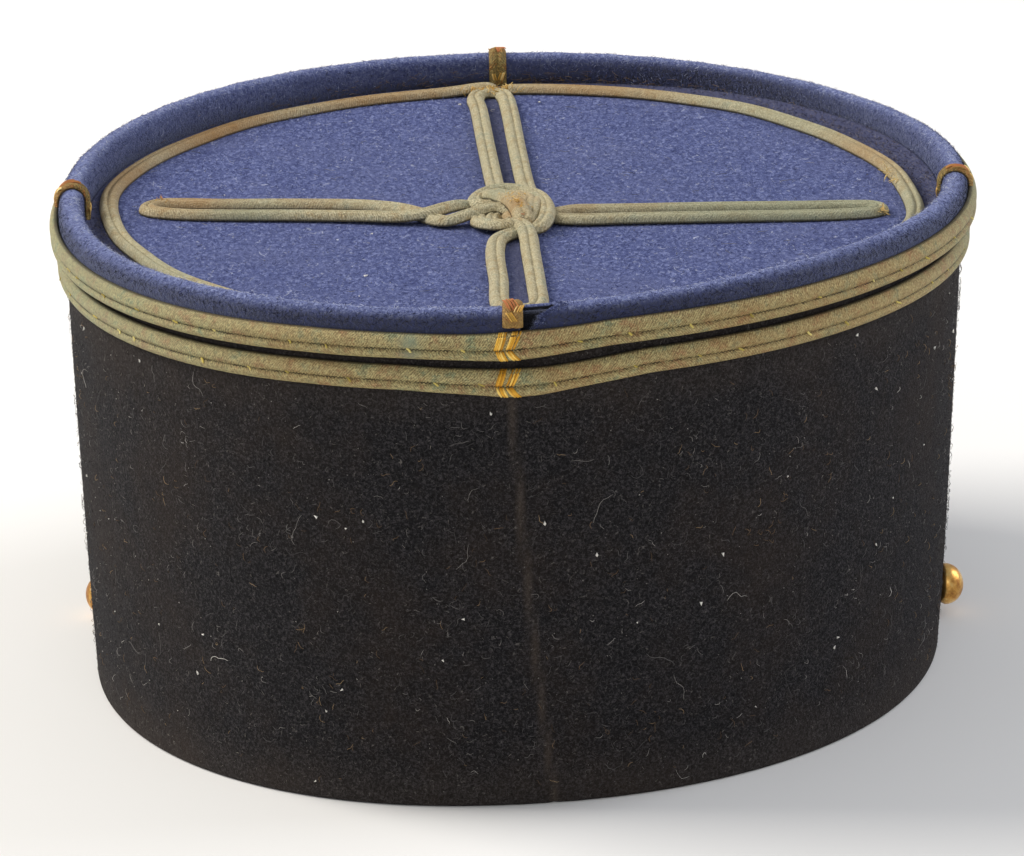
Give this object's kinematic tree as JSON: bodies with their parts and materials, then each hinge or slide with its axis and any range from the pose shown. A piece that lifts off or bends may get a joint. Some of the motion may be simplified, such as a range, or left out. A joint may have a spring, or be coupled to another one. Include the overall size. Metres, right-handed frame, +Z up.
{
  "type": "military kepi hat",
  "caption": "Stiff oval kepi with a black felt band, blue sunk crown in a rolled rim, tarnished braids round the crown and in a cross on top, side buttons and a flat peak.",
  "frame": {"origin": "on the surface the hat stands on, under the middle of the whole hat with its peak", "axes": "+Z up, +Y to the front of the hat where the peak is, +X to the wearer's right"},
  "size_m": [0.1796, 0.2458, 0.0963],
  "materials": {
    "black_felt": "napped wool felt, dusty and linty",
    "blue_cloth": "faded napped wool cloth",
    "galon_braid": "tarnished metal-thread braid",
    "cord_braid": "faded metal-thread flat cord",
    "gilt_brass": "worn gilt",
    "peak_leather": "aged polished leather"
  },
  "bodies": {
    "root": {"band": "black_felt", "crown_rim": "blue_cloth", "top_panel": "blue_cloth", "galon_upper": "galon_braid", "galon_lower": "galon_braid", "top_ring": "cord_braid", "rim_tab_right": "cord_braid", "rim_tab_front": "cord_braid", "rim_tab_left": "cord_braid", "rim_tab_back": "cord_braid", "arm_front": "cord_braid", "arm_back": "cord_braid", "arm_left": "cord_braid", "arm_right": "cord_braid", "knot": "cord_braid", "button_right": "gilt_brass", "button_left": "gilt_brass", "peak": "peak_leather"}
  },
  "joints": []
}
